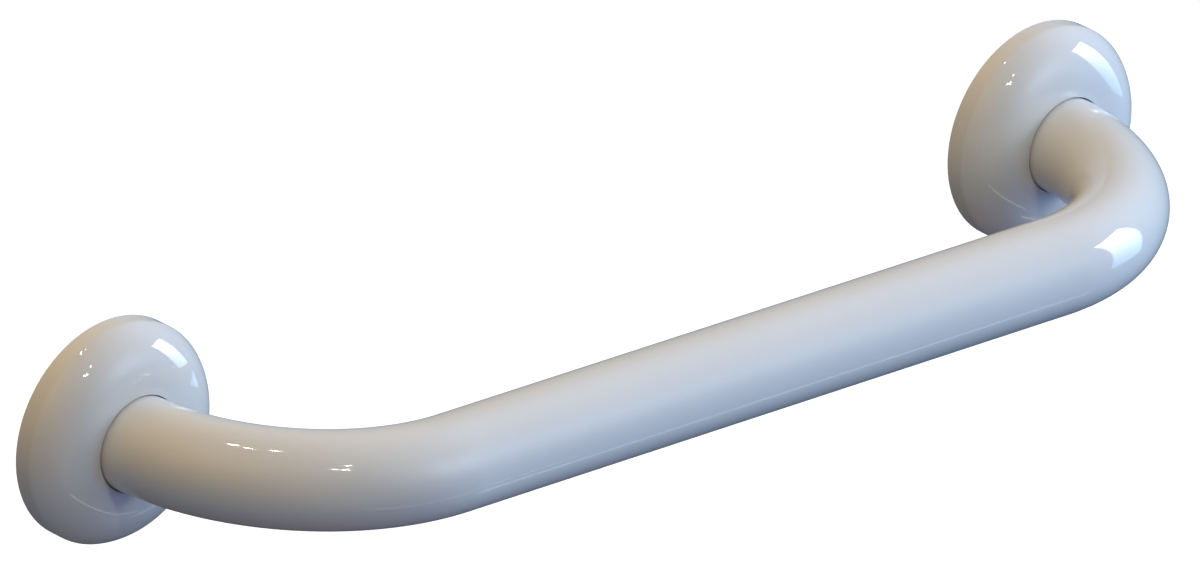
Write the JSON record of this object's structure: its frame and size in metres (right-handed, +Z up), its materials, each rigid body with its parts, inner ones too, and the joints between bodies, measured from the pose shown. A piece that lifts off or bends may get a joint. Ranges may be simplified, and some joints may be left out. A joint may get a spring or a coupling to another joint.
{
  "type": "grab bar",
  "caption": "Straight wall-mounted grab bar with rounded ends turning back to round domed covers that hide its fixing plates.",
  "frame": {"origin": "on the wall, midway between the two ends of the bar", "axes": "+X along the bar, -Y out of the wall towards the room, +Z up the wall"},
  "size_m": [0.4742, 0.1003, 0.0742],
  "materials": {
    "coated_steel": "gloss white coating",
    "cover_plastic": "gloss white moulded plastic"
  },
  "bodies": {
    "root": {"bar_tube": "coated_steel", "left_wall_plate": "coated_steel", "right_wall_plate": "coated_steel", "left_cover": "cover_plastic", "right_cover": "cover_plastic"}
  },
  "joints": []
}
